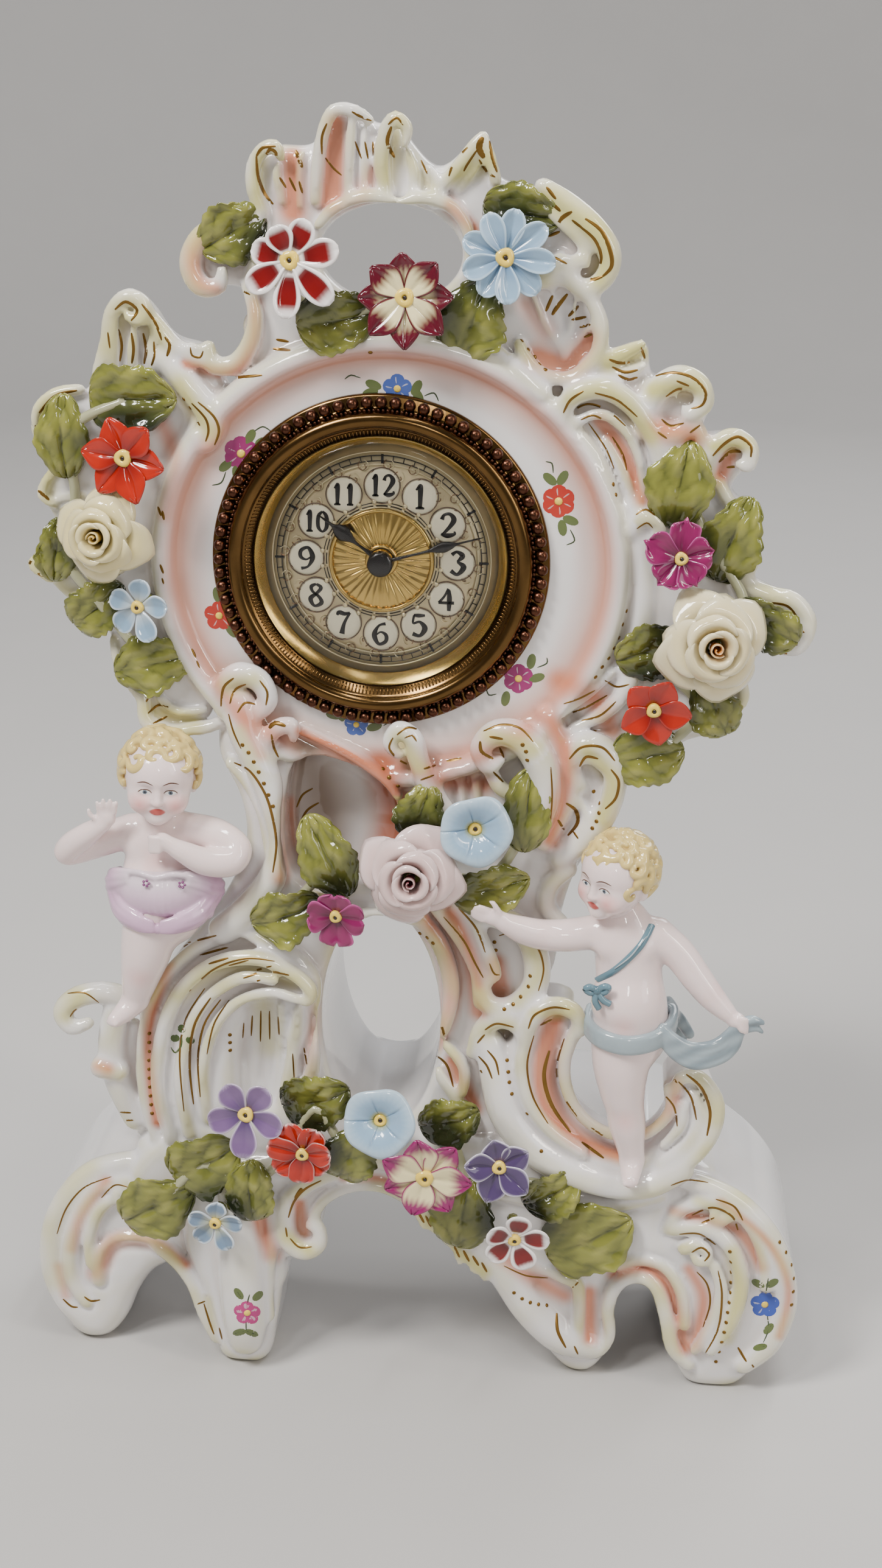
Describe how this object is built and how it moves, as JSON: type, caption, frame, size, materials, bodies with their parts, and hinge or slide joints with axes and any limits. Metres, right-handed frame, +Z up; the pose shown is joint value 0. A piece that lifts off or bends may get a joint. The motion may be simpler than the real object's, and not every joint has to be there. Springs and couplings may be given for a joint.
{
  "type": "mantel clock",
  "caption": "Rococo porcelain mantel clock with scroll feet, pierced waist, round beaded bezel, two cherub figures and applied flowers and leaves",
  "frame": {"origin": "middle of the base on the shelf, under the centre of the bounding box", "axes": "+Z up the clock, -Y towards the viewer out of the dial, +X to the viewer's right"},
  "size_m": [0.274, 0.0988, 0.44],
  "materials": {
    "porcelain": "glossy white glaze shaded salmon pink and pale yellow-green, with gilt lines",
    "figure": "glossy flesh-tinted porcelain with painted hair and drapery",
    "leaf": "glossy olive green leaves with dark veins",
    "red": "glossy deep red petals with white edges",
    "orange": "glossy orange-red petals with pale edges",
    "cream": "glossy cream petals",
    "blue": "glossy pale blue petals",
    "magenta": "glossy magenta petals",
    "lilac": "glossy lilac petals",
    "rose": "glossy pale pink rose",
    "brass": "aged brass with brown patina",
    "gilt": "bright gilt",
    "steel": "plain steel",
    "blued": "black hands",
    "dial": "silvered filigree with cream cartouches and black numerals",
    "glass": "clear domed glass"
  },
  "bodies": {
    "case": {"case_plinth": "porcelain", "case_waist": "porcelain", "case_drum": "porcelain", "case_crest": "porcelain", "cherub_left": "figure", "cherub_right": "figure", "leaves_top": "leaf", "leaves_left": "leaf", "leaves_right": "leaf", "leaves_middle": "leaf", "leaves_low_left": "leaf", "leaves_low_right": "leaf", "flower_top_red": "red", "flower_top_burgundy": "cream", "flower_top_blue": "blue", "flower_left_orange": "orange", "rose_left_cream": "cream", "flower_left_blue": "blue", "flower_right_magenta": "magenta", "rose_right_cream": "cream", "flower_right_orange": "orange", "rose_middle_pink": "rose", "trumpet_middle_blue": "blue", "flower_middle_magenta": "magenta", "flower_low_lilac": "lilac", "flower_low_orange": "orange", "trumpet_low_blue": "blue", "flower_low_star": "cream", "flower_low_purple": "lilac", "flower_low_red": "red", "flower_low_grey": "blue", "bezel": "brass", "glass": "glass", "sight_ring": "gilt", "dial_plate": "dial", "dial_medallion": "gilt", "front_plate": "brass", "back_plate": "brass", "strap_left": "steel", "strap_right": "steel", "back_ring": "brass"},
    "minute_arbor": {"centre_wheel": "brass", "cannon_pinion": "steel", "minute_hand": "blued", "hand_boss": "blued", "set_knob": "brass"},
    "hour": {"hour_wheel": "brass", "hour_hand": "blued"},
    "minute_work": {"minute_wheel": "brass"},
    "barrel_drum": {"barrel": "brass"},
    "third": {"third_wheel": "brass"},
    "escape": {"escape_wheel": "brass"},
    "winding": {"winding_arbor": "steel", "winding_key": "brass"},
    "lever": {"pallet_lever": "steel"},
    "balance": {"balance_wheel": "gilt", "hairspring": "steel"},
    "regulator": {"regulator_lever": "steel"},
    "door": {"back_door": "brass"}
  },
  "joints": [
    {"name": "minute_turn", "type": "hinge", "parent": "case", "child": "minute_arbor", "pos_m": [-0.013, -0.0212, 0.3], "axis": [0, 1, 0], "continuous": true},
    {"name": "hour_turn", "type": "hinge", "parent": "case", "child": "hour", "pos_m": [-0.013, -0.0212, 0.3], "axis": [0, 1, 0], "continuous": true},
    {"name": "minute_work_turn", "type": "hinge", "parent": "case", "child": "minute_work", "pos_m": [-0.001, -0.0212, 0.3], "axis": [0, 1, 0], "continuous": true},
    {"name": "barrel_turn", "type": "hinge", "parent": "case", "child": "barrel_drum", "pos_m": [-0.02785, -0.0212, 0.28515], "axis": [0, 1, 0], "continuous": true},
    {"name": "third_turn", "type": "hinge", "parent": "case", "child": "third", "pos_m": [-0.00287, -0.0212, 0.31754], "axis": [0, 1, 0], "continuous": true},
    {"name": "escape_turn", "type": "hinge", "parent": "case", "child": "escape", "pos_m": [-0.01944, -0.0212, 0.3271], "axis": [0, 1, 0], "continuous": true},
    {"name": "winding_turn", "type": "hinge", "parent": "case", "child": "winding", "pos_m": [-0.02785, -0.0212, 0.28515], "axis": [0, 1, 0], "continuous": true},
    {"name": "lever_rock", "type": "hinge", "parent": "case", "child": "lever", "pos_m": [-0.02827, -0.0212, 0.32388], "axis": [0, 1, 0], "range_deg": [-5, 5]},
    {"name": "balance_swing", "type": "hinge", "parent": "case", "child": "balance", "pos_m": [-0.03785, -0.0212, 0.31666], "axis": [0, 1, 0], "range_deg": [-135, 135], "stiffness_Nm_per_rad": 0.000002},
    {"name": "regulator_turn", "type": "hinge", "parent": "case", "child": "regulator", "pos_m": [-0.03785, -0.0212, 0.31666], "axis": [0, 1, 0], "range_deg": [-20, 20]},
    {"name": "door_swing", "type": "hinge", "parent": "case", "child": "door", "pos_m": [-0.063, 0.0447, 0.3], "axis": [0, 0, 1], "range_deg": [0, 110]}
  ],
  "couplings": [
    {"joint": "hour_turn", "follows": "minute_turn", "ratio": 0.083333},
    {"joint": "minute_work_turn", "follows": "minute_turn", "ratio": -0.33333},
    {"joint": "barrel_turn", "follows": "minute_turn", "ratio": -0.16667},
    {"joint": "third_turn", "follows": "minute_turn", "ratio": -8},
    {"joint": "escape_turn", "follows": "minute_turn", "ratio": 60}
  ]
}
